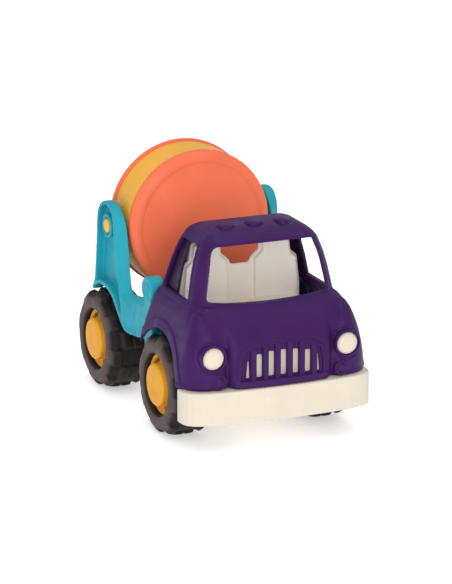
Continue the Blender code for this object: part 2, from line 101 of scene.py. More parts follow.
def coordinates(obj):
    """The vertices of a mesh in this file's millimetres, as an array."""
    co = np.empty(len(obj.data.vertices) * 3, np.float32)
    obj.data.vertices.foreach_get("co", co)
    return (co.reshape(-1, 3).astype(float) - np.array(AXLE)) / MM + np.array([0, 0, AXLE_Z])


def mesh_object(name, bm):
    bmesh.ops.recalc_face_normals(bm, faces=bm.faces)
    mesh = bpy.data.meshes.new(name)
    bm.to_mesh(mesh)
    bm.free()
    made = bpy.data.objects.new(name, mesh)
    bpy.context.scene.collection.objects.link(made)
    return made


def loft(name, rings):
    """A closed solid through rings of points, all of one length."""
    bm = bmesh.new()
    rows = [[bm.verts.new(point) for point in ring] for ring in rings]
    for row, after in zip(rows, rows[1:]):
        for i, vert in enumerate(row):
            j = (i + 1) % len(row)
            bm.faces.new((vert, row[j], after[j], after[i]))
    bm.faces.new(rows[0])
    bm.faces.new(rows[-1])
    return mesh_object(name, bm)


def prism(name, outline, axis, low, high):
    """An outline extruded along one axis. The outline holds the other two coordinates in order."""
    place = {
        "x": lambda u, v, w: at(w, u, v),
        "y": lambda u, v, w: at(u, w, v),
        "z": lambda u, v, w: at(u, v, w),
    }[axis]
    return loft(name, [[place(u, v, w) for u, v in outline] for w in (low, high)])


def box(name, x, y, z):
    return prism(name, [(x[0], y[0]), (x[1], y[0]), (x[1], y[1]), (x[0], y[1])], "z", *z)


def turned(name, profile, axis, centre, steps=96):
    """A profile of (along, radius) turned about an axis. It is closed at the axis or on itself."""
    along, out, third = {
        "x": (Vector((1, 0, 0)), Vector((0, 0, 1)), Vector((0, 1, 0))),
        "y": (Vector((0, 1, 0)), Vector((0, 0, 1)), Vector((1, 0, 0))),
        "z": (Vector((0, 0, 1)), Vector((1, 0, 0)), Vector((0, 1, 0))),
    }[axis]
    middle = at(*centre)
    bm = bmesh.new()
    rows = []
    for k in range(steps):
        angle = math.tau * k / steps
        spoke = out * math.cos(angle) + third * math.sin(angle)
        row = []
        for i, (a, r) in enumerate(profile):
            if r <= 1e-6 and k:
                row.append(rows[0][i])
            else:
                row.append(bm.verts.new(middle + (along * a + spoke * r) * MM))
        rows.append(row)
    ends = list(zip(range(len(profile)), range(1, len(profile))))
    if profile[0][1] > 1e-6:
        ends.append((len(profile) - 1, 0))
    for row, after in zip(rows, rows[1:] + rows[:1]):
        for i, j in ends:
            corners = list(dict.fromkeys((row[i], row[j], after[j], after[i])))
            if len(corners) > 2:
                bm.faces.new(corners)
    return mesh_object(name, bm)


def rod(name, axis, centre, radius, low, high, steps=48):
    profile = [(low, 0.0), (low, radius), (high, radius), (high, 0.0)]
    return turned(name, profile, axis, centre, steps)


def arc(centre, radius, start, end, steps):
    angles = [math.radians(start + (end - start) * k / steps) for k in range(steps + 1)]
    return [(centre[0] + radius * math.cos(a), centre[1] + radius * math.sin(a)) for a in angles]


def rounded(points, radius, steps=4, closed=True):
    """The line with its corners rounded by their own radii, or by one for all."""
    radii = radius if isinstance(radius, (list, tuple)) else [radius] * len(points)
    made = []
    for i, point in enumerate(points):
        if not closed and i in (0, len(points) - 1) or radii[i] <= 0:
            made.append(tuple(point))
            continue
        here = Vector(point)
        back = Vector(points[i - 1]) - here
        on = Vector(points[(i + 1) % len(points)]) - here
        half = back.angle(on) / 2
        if half > math.radians(89):
            made.append(tuple(here))
            continue
        reach = min(radii[i] / math.tan(half), back.length * 0.48, on.length * 0.48)
        start = here + back.normalized() * reach
        end = here + on.normalized() * reach
        for k in range(steps + 1):
            t = k / steps
            made.append(tuple((1 - t) ** 2 * start + 2 * t * (1 - t) * here + t**2 * end))
    return made


def bowed_ring(z, half, front, rear, corner, bow=0.0, rear_corner=4.0):
    """A plan section with round corners, seen from above, whose front bows forward in the middle."""
    points = arc((-half + corner, front + corner), corner, 180, 270, 10)
    span = half - corner
    points += [(span * k / 6, front) for k in range(-5, 6)]
    points += arc((span, front + corner), corner, 270, 360, 10)
    points += arc((half - rear_corner, rear - rear_corner), rear_corner, 0, 90, 4)
    points += arc((-half + rear_corner, rear - rear_corner), rear_corner, 90, 180, 4)
    return [at(x, y + (bow * (x / half) ** 2 if y < 0 else 0.0), z) for x, y in points]


def pod_ring(z, side, inner, outer, front, inner_corner, outer_corner, rear=12.0):
    """A plan section of a fender pod with two round front corners, seen from above."""
    points = arc((inner + inner_corner, front + inner_corner), inner_corner, 180, 270, 8)
    points += arc((outer - outer_corner, front + outer_corner), outer_corner, 270, 360, 12)
    points += [(outer, rear), (inner, rear)]
    return [at(side * x, y, z) for x, y in points]


def screw_place(pair, side):
    """The foot of a screw's upright centre line."""
    return (side * pair[0], pair[1], 0)


# ---------------------------------------------------------------- mesh work


def realise(obj):
    """Turns the modifiers' result into the mesh."""
    graph = bpy.context.evaluated_depsgraph_get()
    mesh = bpy.data.meshes.new_from_object(obj.evaluated_get(graph), depsgraph=graph)
    old = obj.data
    obj.modifiers.clear()
    obj.data = mesh
    bpy.data.meshes.remove(old)
    return obj


def gather(name, solids):
    """One object that holds all of these solids, which are removed."""
    bm = bmesh.new()
    for solid in solids:
        bm.from_mesh(solid.data)
        bpy.data.objects.remove(solid, do_unlink=True)
    mesh = bpy.data.meshes.new(name)
    bm.to_mesh(mesh)
    bm.free()
    made = bpy.data.objects.new(name, mesh)
    bpy.context.scene.collection.objects.link(made)
    return made


def soften(obj, voxel, passes, factor=0.5):
    """Rebuilds the surface on an even grid and smooths it, so that edges and joins look moulded."""
    grid = obj.modifiers.new("grid", "REMESH")
    grid.mode = "VOXEL"
    grid.voxel_size = (voxel if FINE else voxel * 1.5) * MM
    even = obj.modifiers.new("even", "SMOOTH")
    even.factor = factor
    even.iterations = passes if FINE else max(1, passes // 2)
    return realise(obj)


def fuse(name, solids, voxel, passes, factor=0.5):
    return soften(gather(name, solids), voxel, passes, factor)


def work(target, others, operation="DIFFERENCE", solver="MANIFOLD"):
    """Joins or cuts with helpers, which are then removed."""
    for other in others:
        modifier = target.modifiers.new(other.name, "BOOLEAN")
        modifier.operation = operation
        modifier.solver = solver
        modifier.object = other
    realise(target)
    for other in others:
        bpy.data.objects.remove(other, do_unlink=True)
    return target


def bevel(obj, width, segments, angle=30):
    """Rounds the edges that turn by more than an angle in degrees."""
    edge = obj.modifiers.new("edge", "BEVEL")
    edge.width = width * MM
    edge.segments = segments
    edge.limit_method = "ANGLE"
    edge.angle_limit = math.radians(angle)
    return realise(obj)


def emboss(obj, field):
    """Moves each vertex along its normal by the millimetres that field gives for its place."""
    place = coordinates(obj)
    normals = np.empty(len(obj.data.vertices) * 3, np.float32)
    obj.data.vertices.foreach_get("normal", normals)
    normals = normals.reshape(-1, 3).astype(float)
    push = field(place[:, 0], place[:, 1], place[:, 2], normals)
    moved = place + normals * push[:, None]
    moved = (moved - np.array([0, 0, AXLE_Z])) * MM + np.array(AXLE)
    obj.data.vertices.foreach_set("co", moved.astype(np.float32).ravel())
    obj.data.update()
    return obj


def thin_out(obj, most=185000):
    """Keeps the piece under a number of triangles."""
    count = sum(len(p.vertices) - 2 for p in obj.data.polygons)
    if count > most:
        modifier = obj.modifiers.new("thin", "DECIMATE")
        modifier.ratio = most / count
        realise(obj)
    return obj


def step(value, low, high):
    """0 below low, 1 above high, and a smooth rise between."""
    t = np.clip((value - low) / (high - low), 0, 1)
    return t * t * (3 - 2 * t)


def band(value, low, high, edge):
    """1 between low and high, falling to 0 over edge outside."""
    return step(value, low - edge, low) * (1 - step(value, high, high + edge))


def distance(u, v, line, closed=True):
    """How far each point (u, v) is from a line, in the same units."""
    points = np.array(line, float)
    ends = np.roll(points, -1, axis=0) if closed else points[1:]
    starts = points if closed else points[:-1]
    best = np.full(len(u), 1e9)
    for a, b in zip(starts, ends):
        along = b - a
        t = ((u - a[0]) * along[0] + (v - a[1]) * along[1]) / max(along @ along, 1e-9)
        t = np.clip(t, 0, 1)
        best = np.minimum(best, np.hypot(u - a[0] - t * along[0], v - a[1] - t * along[1]))
    return best


# ---------------------------------------------------------------- finishes


def new_material(name):
    """A material with its node tree and its shader."""
    made = bpy.data.materials.new(name)
    made.use_nodes = True
    tree = made.node_tree
    return made, tree, tree.nodes["Principled BSDF"]


def node(tree, kind, **settings):
    made = tree.nodes.new(kind)
    for key, value in settings.items():
        setattr(made, key, value)
    return made


def noise(tree, place, scale, detail=2.0, roughness=0.5):
    made = node(tree, "ShaderNodeTexNoise")
    made.inputs["Scale"].default_value = scale
    made.inputs["Detail"].default_value = detail
    made.inputs["Roughness"].default_value = roughness
    tree.links.new(place, made.inputs["Vector"])
    return made.outputs["Fac"]


def mapped(tree, value, low, high, to_low, to_high):
    made = node(tree, "ShaderNodeMapRange", interpolation_type="SMOOTHSTEP")
    for key, number in (("From Min", low), ("From Max", high), ("To Min", to_low), ("To Max", to_high)):
        made.inputs[key].default_value = number
    tree.links.new(value, made.inputs["Value"])
    return made.outputs["Result"]


def blended(tree, factor, first, second):
    """A mix of two colours, each a tuple or an output."""
    made = node(tree, "ShaderNodeMix", data_type="RGBA")
    tree.links.new(factor, made.inputs["Factor"])
    for key, value in (("A", first), ("B", second)):
        socket = [s for s in made.inputs if s.name == key and s.type == "RGBA"][0]
        if isinstance(value, tuple):
            socket.default_value = (*value, 1.0)
        else:
            tree.links.new(value, socket)
    return [s for s in made.outputs if s.type == "RGBA"][0]


def shade(colour, by):
    return tuple(min(1.0, c * by) for c in colour)


def moulded(name, colour, edge_highlight, rough, specular=0.35, grain=0.05, depth=0.12):
    """Satin moulded plastic: uneven tint, a fine grain, a painted highlight in patches along sharp edges and
    slightly uneven gloss.
    """
    made, tree, shader = new_material(name)
    place = node(tree, "ShaderNodeTexCoord").outputs["Object"]
    cloud = noise(tree, place, 28, 3.0)
    dark, pale = shade(colour, 1 - depth), shade(colour, 1 + depth / 2)
    tint = blended(tree, mapped(tree, cloud, 0.3, 0.7, 0, 1), dark, pale)
    # painted highlight: sharp convex edges, found by pointiness, are painted towards the paler second colour
    # in noise patches
    edge = mapped(tree, node(tree, "ShaderNodeNewGeometry").outputs["Pointiness"], 0.53, 0.62, 0, 0.55)
    patch = mapped(tree, noise(tree, place, 160, 4.0), 0.35, 0.7, 0.25, 1.0)
    highlight_mask = node(tree, "ShaderNodeMath", operation="MULTIPLY")
    tree.links.new(edge, highlight_mask.inputs[0])
    tree.links.new(patch, highlight_mask.inputs[1])
    tree.links.new(blended(tree, highlight_mask.outputs[0], tint, edge_highlight), shader.inputs["Base Color"])
    gloss = mapped(tree, noise(tree, place, 90, 3.0), 0.3, 0.7, rough - 0.05, rough + 0.06)
    tree.links.new(gloss, shader.inputs["Roughness"])
    bump = node(tree, "ShaderNodeBump")
    bump.inputs["Strength"].default_value = grain
    bump.inputs["Distance"].default_value = 0.0004
    tree.links.new(noise(tree, place, 1300, 2.0), bump.inputs["Height"])
    tree.links.new(bump.outputs["Normal"], shader.inputs["Normal"])
    shader.inputs["Specular IOR Level"].default_value = specular
    return made


def tyre_rubber(name):
    """Matt black rubber, a little paler on its edges, with a painted highlight on its side walls."""
    made, tree, shader = new_material(name)
    place = node(tree, "ShaderNodeTexCoord").outputs["Object"]
    cloud = mapped(tree, noise(tree, place, 45, 4.0), 0.3, 0.7, 0, 1)
    tint = blended(tree, cloud, (0.005, 0.0032, 0.003), (0.011, 0.0072, 0.0066))
    edge = mapped(tree, node(tree, "ShaderNodeNewGeometry").outputs["Pointiness"], 0.51, 0.6, 0, 0.5)
    # painted highlight: the side walls, whose normals point along the axle, are painted paler, as where the
    # light falls on them
    facing = node(tree, "ShaderNodeSeparateXYZ")
    tree.links.new(node(tree, "ShaderNodeTexCoord").outputs["Normal"], facing.inputs[0])
    across = node(tree, "ShaderNodeMath", operation="ABSOLUTE")
    tree.links.new(facing.outputs["X"], across.inputs[0])
    sidewall_highlight = blended(tree, mapped(tree, across.outputs[0], 0.55, 0.95, 0, 1), tint, (0.075, 0.053, 0.051))
    tree.links.new(blended(tree, edge, sidewall_highlight, (0.075, 0.057, 0.054)), shader.inputs["Base Color"])
    gloss = mapped(tree, noise(tree, place, 120, 3.0), 0.3, 0.7, 0.5, 0.66)
    tree.links.new(gloss, shader.inputs["Roughness"])
    bump = node(tree, "ShaderNodeBump")
    bump.inputs["Strength"].default_value = 0.16
    bump.inputs["Distance"].default_value = 0.0005
    tree.links.new(noise(tree, place, 700, 4.0), bump.inputs["Height"])
    tree.links.new(bump.outputs["Normal"], shader.inputs["Normal"])
    shader.inputs["Specular IOR Level"].default_value = 0.22
    return made


def plated_steel(name):
    """Bright steel with a cloudy gloss."""
    made, tree, shader = new_material(name)
    place = node(tree, "ShaderNodeTexCoord").outputs["Object"]
    cloud = mapped(tree, noise(tree, place, 140, 4.0), 0.3, 0.7, 0, 1)
    tree.links.new(blended(tree, cloud, (0.46, 0.46, 0.47), (0.60, 0.60, 0.61)), shader.inputs["Base Color"])
    gloss = mapped(tree, noise(tree, place, 500, 3.0), 0.3, 0.7, 0.22, 0.38)
    tree.links.new(gloss, shader.inputs["Roughness"])
    shader.inputs["Metallic"].default_value = 1.0
    return made


def floor_paint(name):
    """Matt white, with a faint glow of its own that keeps the floor pale under the truck."""
    made, tree, shader = new_material(name)
    place = node(tree, "ShaderNodeTexCoord").outputs["Object"]
    cloud = mapped(tree, noise(tree, place, 1.5, 2.0), 0.3, 0.7, 0, 1)
    tree.links.new(blended(tree, cloud, (0.90, 0.90, 0.905), (0.93, 0.93, 0.93)), shader.inputs["Base Color"])
    shader.inputs["Roughness"].default_value = 0.9
    shader.inputs["Specular IOR Level"].default_value = 0.1
    shader.inputs["Emission Color"].default_value = (1.0, 1.0, 1.0, 1.0)
    shader.inputs["Emission Strength"].default_value = 0.45
    return made


# name, colour, colour of the painted edge highlight, roughness, specular level
PURPLE = moulded("purple_plastic", (0.042, 0.0082, 0.088), (0.11, 0.045, 0.18), 0.46, 0.15)
# painted shade: a darker copy of the purple, for the back wall seen inside the cab
SHADE_PURPLE = moulded("dark_purple_plastic", (0.020, 0.004, 0.034), (0.05, 0.02, 0.08), 0.5, 0.25)
CREAM = moulded("cream_plastic", (0.68, 0.605, 0.50), (0.78, 0.71, 0.61), 0.5, 0.25, depth=0.03)
# painted light: a paler copy of the cream for the seats, which sit in the cab's shade
SEAT_LIT_CREAM = moulded("seat_lit_plastic", (0.93, 0.86, 0.76), (0.95, 0.90, 0.82), 0.5, 0.25, depth=0.03)
TEAL = moulded("teal_plastic", (0.016, 0.33, 0.42), (0.12, 0.50, 0.58), 0.48, 0.2, depth=0.08)
ORANGE = moulded("orange_plastic", (0.86, 0.165, 0.074), (0.88, 0.20, 0.10), 0.45, 0.3, depth=0.06)
YELLOW = moulded("yellow_plastic", (0.87, 0.43, 0.044), (0.92, 0.56, 0.15), 0.45, 0.3, depth=0.06)
HUB_YELLOW = moulded("hub_plastic", (0.76, 0.335, 0.02), (0.86, 0.48, 0.10), 0.48, 0.2, depth=0.06)
RUBBER = tyre_rubber("black_rubber")
STEEL = plated_steel("steel")


def give(piece, material, body, nodes, angle=None):
    """Finishes a piece: its material, its body and the nodes that it stands for."""
    piece.data.materials.clear()
    piece.data.materials.append(material)
    piece.data.shade_smooth()
    if angle:
        piece.data.set_sharp_from_angle(angle=math.radians(angle))
    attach(piece, body)
    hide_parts(*nodes)


def keep(node_name, material):
    """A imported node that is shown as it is, with a finish."""
    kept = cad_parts[node_name]
    kept.data.materials.clear()
    kept.data.materials.append(material)


# ---------------------------------------------------------------- cab


# z, half-width, front y, rear y, front corner radius
UPPER_CAB = (
    (112.0, 71.5, -46.0, 38.0, 14.0),
    (126.0, 70.0, -48.0, 37.5, 14.0),
    (130.0, 69.5, -47.5, 36.0, 14.0),
    (150.0, 65.5, -44.5, 29.0, 13.0),
    (165.0, 61.5, -42.2, 24.0, 12.0),
    (178.0, 56.5, -40.2, 20.5, 12.0),
    (183.0, 53.0, -37.5, 20.0, 12.0),
    (187.0, 48.0, -31.5, 18.5, 11.0),
    (189.6, 41.0, -24.0, 15.0, 9.0),
    (190.8, 33.0, -17.0, 9.0, 7.0),
)
# z, half-width, front y, rear y, front corner radius
BODY = (
    (58.4, 90.4, -73.6, 42.0, 24.0),
    (73.0, 89.0, -74.2, 42.4, 24.0),
    (85.0, 86.8, -74.2, 42.0, 23.0),
    (97.0, 84.0, -73.2, 41.4, 22.0),
    (108.0, 80.8, -70.0, 39.8, 22.0),
    (116.0, 78.2, -65.2, 38.0, 20.0),
    (122.0, 75.4, -59.2, 38.0, 18.0),
    (127.0, 71.6, -52.0, 38.0, 15.0),
    (129.5, 66.0, -45.0, 36.0, 12.0),
)
# z, half-width, front y, front corner radius
HOOD = (
    (58.4, 49.6, -81.6, 7.0),
    (75.0, 50.0, -82.0, 8.0),
    (90.0, 51.0, -81.2, 9.0),
    (99.0, 52.4, -79.2, 10.5),
    (106.0, 54.4, -75.8, 12.0),
    (112.0, 56.6, -71.2, 13.0),
    (118.0, 59.0, -65.2, 14.0),
    (124.0, 62.0, -57.8, 14.0),
    (128.5, 64.0, -50.4, 13.0),
    (130.5, 64.5, -47.2, 13.0),
)
# z, inner x, outer x, front y, inner and outer corner radius
PODS = (
    (58.4, 49.6, 90.4, -77.4, 8, 25),
    (66.0, 49.8, 90.2, -78.0, 8, 25),
    (75.0, 50.2, 89.2, -78.2, 9, 24),
    (85.0, 51.0, 87.2, -78.0, 9, 23),
    (97.0, 53.5, 84.4, -76.4, 10, 21),
    (108.0, 57.5, 80.8, -72.0, 10, 17),
    (116.0, 61.5, 77.6, -65.8, 8, 12),
    (121.0, 65.0, 74.6, -59.8, 5, 7),
    (123.5, 67.0, 72.4, -56.0, 2.5, 3),
)


def cab_reliefs(x, y, z, normals):
    """Lips, flanges and grooves of the cab, in millimetres along its surface normals."""
    across = np.abs(x)
    sideways = np.abs(normals[:, 0])
    # the flange round the wheel arch, then the hem along the bottom of the fender
    from_axle = np.hypot(y - ARCH_Y, z - AXLE_Z)
    push = 1.25 * band(from_axle, 40, 59.8, 1.2) * step(across, 76, 80) * step(sideways, 0.5, 0.8)
    push += 0.5 * (1 - step(z, 61.4, 62.6)) * step(across, 52, 54) * (1 - step(y, -52, -50))
    # the lips of the windscreen and the side windows
    screen = distance(x, z, rounded(*WINDSCREEN))
    push += 0.8 * (1 - step(screen, 2.6, 3.8)) * step(-y, 36, 38) * step(-normals[:, 1], 0.5, 0.8)
    window = distance(y, z, rounded(*SIDE_WINDOW))
    push += 0.7 * (1 - step(window, 2.4, 3.6)) * step(sideways, 0.6, 0.8)
    # the groove round each headlamp, and the brow of the grille with a groove outside it
    from_lamp = np.hypot(across - LAMP_X, z - LAMP_Z)
    push -= 0.9 * band(from_lamp, 13.2, 14.2, 0.9) * step(-y, 60, 64)
    brow = distance(x, z, GRILLE_ARCH)
    front = step(z, 64, 66) * step(-y, 70, 74)
    push += 0.9 * (1 - step(brow, 2.2, 3.2)) * front - 0.7 * band(brow, 3.8, 4.4, 0.7) * front
    return push


def make_cab():
    solids = [loft("form_body", [bowed_ring(*row) for row in BODY])]
    solids.append(loft("form_upper", [bowed_ring(*row, bow=1.0) for row in UPPER_CAB]))
    hood = [bowed_ring(z, half, front, -30, corner, bow=1.6) for z, half, front, corner in HOOD]
    solids.append(loft("form_hood", hood))
    for side in (-1, 1):
        solids.append(loft(f"form_pod{side}", [pod_ring(row[0], side, *row[1:]) for row in PODS]))
    cab = fuse("cab", solids, 0.95, 12)
    emboss(cab, cab_reliefs)
    sill = [(-45.4, -76), (-45.4, -80.6), (-41, -82.6), (-22, -84.4), (0, -85.0), (22, -84.4), (41, -82.6)]
    sill += [(45.4, -80.6), (45.4, -76)]
    parts = [prism("form_sill", rounded(sill, 2.0), "z", LOW_Z, 64.6)]
    for side in (-1, 1):
        ring = rounded([(-2.5, 10.0), (-3.0, 11.4), (-2.2, 12.7), (12.0, 12.7), (12.0, 10.0)], 0.9)
        parts.append(turned(f"form_lamp{side}", ring, "y", (side * LAMP_X, -76.9, LAMP_Z), 64))
        dome = [(-3.4, 0), (-3.2, 2.0), (-2.4, 3.7), (-0.7, 4.9), (-0.7, 5.6), (-1.3, 6.0), (-1.2, 6.9)]
        dome += [(-0.2, 7.3), (7.0, 7.4), (7.0, 0)]
        place = (side * BLINKER[0], BLINKER[1], BLINKER[2])
        parts.append(turned(f"form_blinker{side}", dome, "y", place, 48))
    work(cab, parts, "UNION")
    posts = []
    for side in (-1, 1):
        posts.append(rod(f"form_post{side}", "z", screw_place(FRONT_SCREW, side), 4.2, 57.9, 112.0))
    # the side wall is 2.2 mm thick at the bottom and 5.8 mm under the windows
    hollow = []
    for z, half, front, _, corner in BODY:
        wall = 2.2 + 3.6 * max(0.0, min(1.0, (z - 96) / 30))
        hollow.append((z - 2.8, half - wall, max(front + 4.6, -68), 70.0, corner - 2.2))
    floor = [(40.0, 88.0, -67.0, 70.0, 19.0)]
    cuts = [loft("cut_body", [bowed_ring(*row) for row in floor + hollow])]
    inner = []
    for z, half, front, _, corner in UPPER_CAB:
        inner.append((z - 2.8, half - 3.0, front + 3.0, 60.0, corner - 3.0))
    cuts.append(loft("cut_upper", [bowed_ring(*row) for row in inner]))
    cuts.append(box("cut_pocket", (-42.5, 42.5), (-77.6, -60), (40, 92.0)))
    cuts.append(rod("cut_arch", "x", (0, ARCH_Y, AXLE_Z), ARCH_R, -110, 110, 96))
    cuts.append(prism("cut_screen", rounded(*WINDSCREEN), "y", -75, -20))
    cuts.append(prism("cut_windows", rounded(*SIDE_WINDOW), "x", -95, 95))
    cuts.append(prism("cut_grille", rounded(GRILLE_ARCH, 1.5, 2), "y", -96, -79.4))
    work(cab, cuts)
    bars = []
    for i in range(-3, 3):
        x = GRILLE_SHIFT + (i + 0.5) * SLOT_PITCH
        top = 96.6 - GRILLE_BOW * x * x
        bar = [(x - 3.1, -77.8), (x - 3.1, -81.2), (x - 2.0, -82.6)]
        bar += [(x + 2.0, -82.6), (x + 3.1, -81.2), (x + 3.1, -77.8)]
        bars.append(prism(f"form_bar{i}", rounded(bar, 0.8), "z", 63.6, top))
    work(cab, bars + posts, "UNION")
    slots = []
    for i in range(-2, 3):
        x = GRILLE_SHIFT + i * SLOT_PITCH
        top = 89.8 - GRILLE_BOW * x * x
        slot = rounded([(x - 3.1, 66.4), (x + 3.1, 66.4), (x + 3.1, top), (x - 3.1, top)], 0.9, 2)
        slots.append(prism(f"cut_slot{i}", slot, "y", -96, -66))
    for side in (-1, 1):
        slot = [(side * 32.6, 66.4), (side * 36.0, 66.4), (side * 34.2, 84.0), (side * 33.3, 84.0)]
        slot = [(x + GRILLE_SHIFT, z) for x, z in slot]
        slots.append(prism(f"cut_end_slot{side}", slot, "y", -96, -66))
        slots.append(rod(f"cut_lamp{side}", "y", (side * LAMP_X, -76, LAMP_Z), 10.75, -20, 22, 64))
        slots.append(rod(f"cut_pilot{side}", "z", screw_place(FRONT_SCREW, side), 1.7, 40, 72, 16))
    for x, y in MARKERS:
        slots.append(rod(f"cut_marker{x}", "z", (x, y, 190), 8.8, -0.9, 6, 48))
    work(cab, slots)
    domes = []
    for x, y in MARKERS:
        dome = [(-3.0, 0), (-3.0, 6.2), (0.9, 6.2), (2.5, 5.0), (3.2, 3.0), (3.4, 1.4), (3.5, 0)]
        domes.append(turned(f"form_marker{x}", dome, "z", (x, y, 190.0), 48))
    work(cab, domes, "UNION")
    soften(cab, 0.62, 2, 0.4)
    give(thin_out(cab), PURPLE, "truck", ["cab_shell"])


def make_seats():
    seats = box("seats", (-65.6, 65.6), (-55.8, 30.2), (96.6, 99.4))
    half = [(60.0, 97.8), (59.4, 124), (56.6, 148.5), (50.6, 153.3), (48.6, 168), (45, 170.6), (23.7, 170.6)]
    half += [(19.8, 168), (18.7, 157.3), (11.2, 150.8), (9, 145.8)]
    outline = rounded(half + [(-x, z) for x, z in reversed(half)], 1.6, 3)
    parts = [prism("form_backs", outline, "y", 15.6, 18.8)]
    for side in (-1, 1):
        pad = [(13.5, 111), (57.0, 111), (54.0, 147.4), (48.2, 152.2), (46.4, 166.4), (43.6, 168.6)]
        pad += [(24.8, 168.6), (22.0, 166.4), (20.9, 156.0), (13.5, 149.6)]
        pad = rounded([(side * x, z) for x, z in pad], 2.0, 3)
        parts.append(prism(f"form_pad{side}", pad, "y", 11.4, 16.4))
        x = sorted((side * 8.0, side * 56.6))
        parts.append(box(f"form_cushion{side}", x, (-13.6, 17.0), (98, 111)))
        x = sorted((side * 12.0, side * 52.6))
        parts.append(box(f"form_cushion_top{side}", x, (-13.0, 10.6), (104, 113.4)))
    parts.append(box("form_dash", (-59.6, 59.6), (-53.6, -45.4), (98, 116.6)))
    work(seats, parts, "UNION")
    lines = []
    for side in (-1, 1):
        for x in (24.6, 33.5, 42.4):
            across = sorted((side * (x - 0.4), side * (x + 0.4)))
            lines.append(box(f"cut_line{side}{x}", across, (9, 12.1), (116, 164)))
        for x in (26, 33, 40):
            across = sorted((side * (x - 0.35), side * (x + 0.35)))
            lines.append(box(f"cut_seam{side}{x}", across, (-12, 6), (112.8, 115)))
    work(seats, lines)
    soften(seats, 0.8, 3)
    # the seats take the paler cream: painted light inside the cab
    give(thin_out(seats, 150000), SEAT_LIT_CREAM, "truck", ["seat_insert"])


def make_lamps():
    lamp = [(-3.0, 0), (-2.9, 3.0), (-2.5, 6.0), (-1.8, 8.4), (-0.9, 9.9), (0.3, 10.35)]
    lamp += [(8.6, 10.35), (8.6, 11.1), (10.2, 11.1), (10.2, 0)]
    for side, word in SIDES:
        disc = turned(f"lamp_{word}", rounded(lamp, 0.5, 3, False), "y", (side * LAMP_X, -76.8, LAMP_Z), 96)
        give(disc, CREAM, "truck", [f"headlamp_{word}"], 50)


def make_insert():
    """The plate behind the slots of the grille."""
    outline = rounded([(-41.4, 62.0), (41.4, 62.0), (41.4, 91.0), (-41.4, 91.0)], 2.5)
    plate = bevel(prism("grille_plate", outline, "y", -77.2, -75.0), 0.5, 3)
    give(plate, CREAM, "truck", ["grille_insert"], 40)


# ---------------------------------------------------------------- chassis


def bumper_outline(inset, steps=5):
    """The bowed bumper seen from above, moved in by a wall."""
    half = [(0, -87.0), (16, -86.9), (32, -86.4), (46, -85.6), (58, -84.4), (69, -82.8), (78, -80.4)]
    half += [(84.5, -77.6), (89.0, -73.6), (91.2, -69.0), (91.9, -64.0)]
    scale = (92.0 - inset) / 92.0
    right = [(x * scale, y + inset) for x, y in half[1:]]
    line = [(-x, y) for x, y in reversed(right)] + [(0, half[0][1] + inset)] + right
    rear = -56.2 if not inset else -46.0
    corner = 91.9 * scale
    return rounded([*line, (corner, rear), (-corner, rear)], [3] * len(line) + [2, 2], steps)


def make_chassis():
    bumper = prism("chassis_tray", bumper_outline(0), "z", BUMPER_BOTTOM, BUMPER_TOP)
    bevel(bumper, 3.6, 6, 50)
    plate = rounded([(-19.0, 33.5), (19.0, 33.5), (19.0, 51.0), (-19.0, 51.0)], 2.0)
    work(bumper, [prism("form_plate", plate, "y", -86.95, -80)], "UNION")
    work(bumper, [prism("cut_bumper", bumper_outline(4.0), "z", 10, 54.0)])
    across = (-TRAY_HALF, TRAY_HALF)
    tray = box("form_tray", across, (-84, 200), (32.3, 57.5))
    work(tray, [box("form_floor", across, (-50, 200), (31.5, 40))], "UNION")
    cuts = [box("cut_tray", (3 - TRAY_HALF, TRAY_HALF - 3), (-81, 197), (35.3, 80))]
    for y in (0, REAR_Y):
        cuts.append(rod(f"cut_axle{y}", "x", (0, y, AXLE_Z), 2.8, -60, 60))
    work(tray, cuts)
    parts = [tray]
    for side in (-1, 1):
        parts.append(rod(f"form_boss{side}", "z", screw_place(FRONT_SCREW, side), 5.6, 31.5, 56.0))
    work(bumper, parts, "UNION")
    bores = []
    for side in (-1, 1):
        front, rear = screw_place(FRONT_SCREW, side), screw_place(REAR_SCREW, side)
        bores.append(rod(f"cut_rear_bore{side}", "z", rear, 3.6, 20, 34.0))
        bores.append(rod(f"cut_bore{side}", "z", front, 3.6, 20, 50))
        bores.append(rod(f"cut_hole{side}", "z", front, 1.8, 20, 70))
        bores.append(rod(f"cut_rear_hole{side}", "z", rear, 1.8, 20, 40))
    work(bumper, bores)
    give(bumper, CREAM, "truck", ["chassis"], 35)


# ---------------------------------------------------------------- rear body


def fork_outline():
    """One side of the rear body without its ear, as (y, z)."""
    lower = rounded([*FORK_LOWER, (176, 90)], 3.0, 3, False)
    rear = [(170.2, 104), (167.4, 123), (165, 142), (163.6, 160), (161.4, 169.5), (155.5, 177.6)]
    tip = [(147, 182), (138, 183), (130.5, 181.8), (123.6, 178), (116.6, 172), (112, 165.9)]
    front = [(109, 157), (107.4, 149), (105.1, 137.6), (103.1, 126.1), (100.8, 113.5), (98.4, 106.8)]
    front += [(92, 105), (78, 106.6), (60, 109), (38.8, 109)]
    return lower + rounded(rear + tip + front, 3.0, 3, False)


